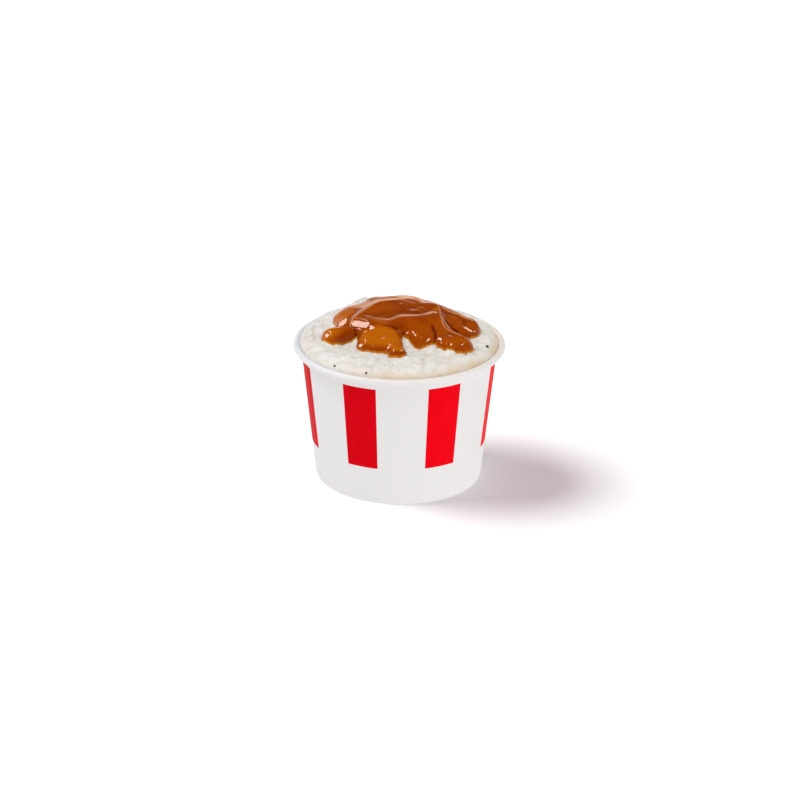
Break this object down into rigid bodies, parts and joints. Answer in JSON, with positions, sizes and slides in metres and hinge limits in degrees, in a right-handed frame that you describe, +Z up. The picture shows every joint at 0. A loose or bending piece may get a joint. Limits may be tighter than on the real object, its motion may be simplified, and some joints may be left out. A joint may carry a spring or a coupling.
{
  "type": "mashed potato side in a paper tub",
  "caption": "Round paper food tub with a rolled rim and a raised base, heaped with mashed potato under a thick, lobed pour of brown gravy.",
  "frame": {"origin": "centre of the tub's foot, on the surface it stands on", "axes": "+Z up; the front, where the gravy's narrow lobes run down, faces -Y"},
  "size_m": [0.098, 0.098, 0.0828],
  "materials": {
    "tub_paper": "coated white board, satin, with red stripes printed on the wall",
    "mashed_potato": "soft and moist, pale cream",
    "gravy": "glossy, translucent orange brown"
  },
  "bodies": {
    "root": {"tub_wall": "tub_paper", "tub_base": "tub_paper", "mash": "mashed_potato", "gravy": "gravy"}
  },
  "joints": []
}
